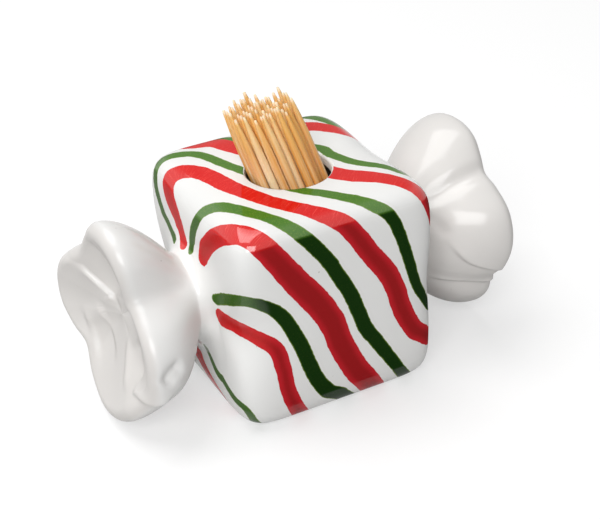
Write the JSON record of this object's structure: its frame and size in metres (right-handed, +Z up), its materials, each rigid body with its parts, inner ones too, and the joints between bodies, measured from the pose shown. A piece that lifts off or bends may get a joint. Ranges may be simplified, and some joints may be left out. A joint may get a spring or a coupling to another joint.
{
  "type": "toothpick holder",
  "caption": "Glazed ceramic toothpick holder shaped as a wrapped candy, with a round mouth on top and a leaning bundle of loose wooden toothpicks.",
  "frame": {"origin": "centre of the foot on the table, under the middle of the block", "axes": "+X along the candy from the left twist to the right twist, +Y from the front to the back, +Z up through the mouth"},
  "size_m": [0.0983, 0.0518, 0.0663],
  "materials": {
    "striped_glaze": "gloss white glaze with brushed red and green stripes that run from the left neck",
    "white_glaze": "gloss white glaze",
    "bamboo": "smooth bare bamboo"
  },
  "bodies": {
    "holder": {"candy_body": "striped_glaze", "wrapper_twist_left": "white_glaze", "wrapper_twist_right": "white_glaze"},
    "toothpick_01": {"toothpick_01": "bamboo"},
    "toothpick_02": {"toothpick_02": "bamboo"},
    "toothpick_03": {"toothpick_03": "bamboo"},
    "toothpick_04": {"toothpick_04": "bamboo"},
    "toothpick_05": {"toothpick_05": "bamboo"},
    "toothpick_06": {"toothpick_06": "bamboo"},
    "toothpick_07": {"toothpick_07": "bamboo"},
    "toothpick_08": {"toothpick_08": "bamboo"},
    "toothpick_09": {"toothpick_09": "bamboo"},
    "toothpick_10": {"toothpick_10": "bamboo"},
    "toothpick_11": {"toothpick_11": "bamboo"},
    "toothpick_12": {"toothpick_12": "bamboo"},
    "toothpick_13": {"toothpick_13": "bamboo"},
    "toothpick_14": {"toothpick_14": "bamboo"},
    "toothpick_15": {"toothpick_15": "bamboo"},
    "toothpick_16": {"toothpick_16": "bamboo"},
    "toothpick_17": {"toothpick_17": "bamboo"},
    "toothpick_18": {"toothpick_18": "bamboo"},
    "toothpick_19": {"toothpick_19": "bamboo"},
    "toothpick_20": {"toothpick_20": "bamboo"},
    "toothpick_21": {"toothpick_21": "bamboo"},
    "toothpick_22": {"toothpick_22": "bamboo"},
    "toothpick_23": {"toothpick_23": "bamboo"},
    "toothpick_24": {"toothpick_24": "bamboo"},
    "toothpick_25": {"toothpick_25": "bamboo"},
    "toothpick_26": {"toothpick_26": "bamboo"},
    "toothpick_27": {"toothpick_27": "bamboo"},
    "toothpick_28": {"toothpick_28": "bamboo"},
    "toothpick_29": {"toothpick_29": "bamboo"},
    "toothpick_30": {"toothpick_30": "bamboo"},
    "toothpick_31": {"toothpick_31": "bamboo"},
    "toothpick_32": {"toothpick_32": "bamboo"},
    "toothpick_33": {"toothpick_33": "bamboo"},
    "toothpick_34": {"toothpick_34": "bamboo"},
    "toothpick_35": {"toothpick_35": "bamboo"},
    "toothpick_36": {"toothpick_36": "bamboo"},
    "toothpick_37": {"toothpick_37": "bamboo"},
    "toothpick_38": {"toothpick_38": "bamboo"},
    "toothpick_39": {"toothpick_39": "bamboo"},
    "toothpick_40": {"toothpick_40": "bamboo"},
    "toothpick_41": {"toothpick_41": "bamboo"},
    "toothpick_42": {"toothpick_42": "bamboo"},
    "toothpick_43": {"toothpick_43": "bamboo"},
    "toothpick_44": {"toothpick_44": "bamboo"},
    "toothpick_45": {"toothpick_45": "bamboo"},
    "toothpick_46": {"toothpick_46": "bamboo"},
    "toothpick_47": {"toothpick_47": "bamboo"},
    "toothpick_48": {"toothpick_48": "bamboo"},
    "toothpick_49": {"toothpick_49": "bamboo"},
    "toothpick_50": {"toothpick_50": "bamboo"}
  },
  "joints": [
    {"name": "toothpick_01_lift", "type": "slide", "parent": "holder", "child": "toothpick_01", "axis": [-0.25, 0.2588, 0.933], "range_m": [0, 0.049]},
    {"name": "toothpick_02_lift", "type": "slide", "parent": "holder", "child": "toothpick_02", "axis": [-0.25, 0.2588, 0.933], "range_m": [0, 0.049]},
    {"name": "toothpick_03_lift", "type": "slide", "parent": "holder", "child": "toothpick_03", "axis": [-0.25, 0.2588, 0.933], "range_m": [0, 0.049]},
    {"name": "toothpick_04_lift", "type": "slide", "parent": "holder", "child": "toothpick_04", "axis": [-0.25, 0.2588, 0.933], "range_m": [0, 0.049]},
    {"name": "toothpick_05_lift", "type": "slide", "parent": "holder", "child": "toothpick_05", "axis": [-0.25, 0.2588, 0.933], "range_m": [0, 0.049]},
    {"name": "toothpick_06_lift", "type": "slide", "parent": "holder", "child": "toothpick_06", "axis": [-0.25, 0.2588, 0.933], "range_m": [0, 0.049]},
    {"name": "toothpick_07_lift", "type": "slide", "parent": "holder", "child": "toothpick_07", "axis": [-0.25, 0.2588, 0.933], "range_m": [0, 0.049]},
    {"name": "toothpick_08_lift", "type": "slide", "parent": "holder", "child": "toothpick_08", "axis": [-0.25, 0.2588, 0.933], "range_m": [0, 0.049]},
    {"name": "toothpick_09_lift", "type": "slide", "parent": "holder", "child": "toothpick_09", "axis": [-0.25, 0.2588, 0.933], "range_m": [0, 0.049]},
    {"name": "toothpick_10_lift", "type": "slide", "parent": "holder", "child": "toothpick_10", "axis": [-0.25, 0.2588, 0.933], "range_m": [0, 0.049]},
    {"name": "toothpick_11_lift", "type": "slide", "parent": "holder", "child": "toothpick_11", "axis": [-0.25, 0.2588, 0.933], "range_m": [0, 0.049]},
    {"name": "toothpick_12_lift", "type": "slide", "parent": "holder", "child": "toothpick_12", "axis": [-0.25, 0.2588, 0.933], "range_m": [0, 0.049]},
    {"name": "toothpick_13_lift", "type": "slide", "parent": "holder", "child": "toothpick_13", "axis": [-0.25, 0.2588, 0.933], "range_m": [0, 0.049]},
    {"name": "toothpick_14_lift", "type": "slide", "parent": "holder", "child": "toothpick_14", "axis": [-0.25, 0.2588, 0.933], "range_m": [0, 0.049]},
    {"name": "toothpick_15_lift", "type": "slide", "parent": "holder", "child": "toothpick_15", "axis": [-0.25, 0.2588, 0.933], "range_m": [0, 0.049]},
    {"name": "toothpick_16_lift", "type": "slide", "parent": "holder", "child": "toothpick_16", "axis": [-0.25, 0.2588, 0.933], "range_m": [0, 0.049]},
    {"name": "toothpick_17_lift", "type": "slide", "parent": "holder", "child": "toothpick_17", "axis": [-0.25, 0.2588, 0.933], "range_m": [0, 0.049]},
    {"name": "toothpick_18_lift", "type": "slide", "parent": "holder", "child": "toothpick_18", "axis": [-0.25, 0.2588, 0.933], "range_m": [0, 0.049]},
    {"name": "toothpick_19_lift", "type": "slide", "parent": "holder", "child": "toothpick_19", "axis": [-0.25, 0.2588, 0.933], "range_m": [0, 0.049]},
    {"name": "toothpick_20_lift", "type": "slide", "parent": "holder", "child": "toothpick_20", "axis": [-0.25, 0.2588, 0.933], "range_m": [0, 0.049]},
    {"name": "toothpick_21_lift", "type": "slide", "parent": "holder", "child": "toothpick_21", "axis": [-0.25, 0.2588, 0.933], "range_m": [0, 0.049]},
    {"name": "toothpick_22_lift", "type": "slide", "parent": "holder", "child": "toothpick_22", "axis": [-0.25, 0.2588, 0.933], "range_m": [0, 0.049]},
    {"name": "toothpick_23_lift", "type": "slide", "parent": "holder", "child": "toothpick_23", "axis": [-0.25, 0.2588, 0.933], "range_m": [0, 0.049]},
    {"name": "toothpick_24_lift", "type": "slide", "parent": "holder", "child": "toothpick_24", "axis": [-0.25, 0.2588, 0.933], "range_m": [0, 0.049]},
    {"name": "toothpick_25_lift", "type": "slide", "parent": "holder", "child": "toothpick_25", "axis": [-0.25, 0.2588, 0.933], "range_m": [0, 0.049]},
    {"name": "toothpick_26_lift", "type": "slide", "parent": "holder", "child": "toothpick_26", "axis": [-0.25, 0.2588, 0.933], "range_m": [0, 0.049]},
    {"name": "toothpick_27_lift", "type": "slide", "parent": "holder", "child": "toothpick_27", "axis": [-0.25, 0.2588, 0.933], "range_m": [0, 0.049]},
    {"name": "toothpick_28_lift", "type": "slide", "parent": "holder", "child": "toothpick_28", "axis": [-0.25, 0.2588, 0.933], "range_m": [0, 0.049]},
    {"name": "toothpick_29_lift", "type": "slide", "parent": "holder", "child": "toothpick_29", "axis": [-0.25, 0.2588, 0.933], "range_m": [0, 0.049]},
    {"name": "toothpick_30_lift", "type": "slide", "parent": "holder", "child": "toothpick_30", "axis": [-0.25, 0.2588, 0.933], "range_m": [0, 0.049]},
    {"name": "toothpick_31_lift", "type": "slide", "parent": "holder", "child": "toothpick_31", "axis": [-0.25, 0.2588, 0.933], "range_m": [0, 0.049]},
    {"name": "toothpick_32_lift", "type": "slide", "parent": "holder", "child": "toothpick_32", "axis": [-0.25, 0.2588, 0.933], "range_m": [0, 0.049]},
    {"name": "toothpick_33_lift", "type": "slide", "parent": "holder", "child": "toothpick_33", "axis": [-0.25, 0.2588, 0.933], "range_m": [0, 0.049]},
    {"name": "toothpick_34_lift", "type": "slide", "parent": "holder", "child": "toothpick_34", "axis": [-0.25, 0.2588, 0.933], "range_m": [0, 0.049]},
    {"name": "toothpick_35_lift", "type": "slide", "parent": "holder", "child": "toothpick_35", "axis": [-0.25, 0.2588, 0.933], "range_m": [0, 0.049]},
    {"name": "toothpick_36_lift", "type": "slide", "parent": "holder", "child": "toothpick_36", "axis": [-0.25, 0.2588, 0.933], "range_m": [0, 0.049]},
    {"name": "toothpick_37_lift", "type": "slide", "parent": "holder", "child": "toothpick_37", "axis": [-0.25, 0.2588, 0.933], "range_m": [0, 0.049]},
    {"name": "toothpick_38_lift", "type": "slide", "parent": "holder", "child": "toothpick_38", "axis": [-0.25, 0.2588, 0.933], "range_m": [0, 0.049]},
    {"name": "toothpick_39_lift", "type": "slide", "parent": "holder", "child": "toothpick_39", "axis": [-0.25, 0.2588, 0.933], "range_m": [0, 0.049]},
    {"name": "toothpick_40_lift", "type": "slide", "parent": "holder", "child": "toothpick_40", "axis": [-0.25, 0.2588, 0.933], "range_m": [0, 0.049]},
    {"name": "toothpick_41_lift", "type": "slide", "parent": "holder", "child": "toothpick_41", "axis": [-0.25, 0.2588, 0.933], "range_m": [0, 0.049]},
    {"name": "toothpick_42_lift", "type": "slide", "parent": "holder", "child": "toothpick_42", "axis": [-0.25, 0.2588, 0.933], "range_m": [0, 0.049]},
    {"name": "toothpick_43_lift", "type": "slide", "parent": "holder", "child": "toothpick_43", "axis": [-0.25, 0.2588, 0.933], "range_m": [0, 0.049]},
    {"name": "toothpick_44_lift", "type": "slide", "parent": "holder", "child": "toothpick_44", "axis": [-0.25, 0.2588, 0.933], "range_m": [0, 0.049]},
    {"name": "toothpick_45_lift", "type": "slide", "parent": "holder", "child": "toothpick_45", "axis": [-0.25, 0.2588, 0.933], "range_m": [0, 0.049]},
    {"name": "toothpick_46_lift", "type": "slide", "parent": "holder", "child": "toothpick_46", "axis": [-0.25, 0.2588, 0.933], "range_m": [0, 0.049]},
    {"name": "toothpick_47_lift", "type": "slide", "parent": "holder", "child": "toothpick_47", "axis": [-0.25, 0.2588, 0.933], "range_m": [0, 0.049]},
    {"name": "toothpick_48_lift", "type": "slide", "parent": "holder", "child": "toothpick_48", "axis": [-0.25, 0.2588, 0.933], "range_m": [0, 0.049]},
    {"name": "toothpick_49_lift", "type": "slide", "parent": "holder", "child": "toothpick_49", "axis": [-0.25, 0.2588, 0.933], "range_m": [0, 0.049]},
    {"name": "toothpick_50_lift", "type": "slide", "parent": "holder", "child": "toothpick_50", "axis": [-0.25, 0.2588, 0.933], "range_m": [0, 0.049]}
  ]
}
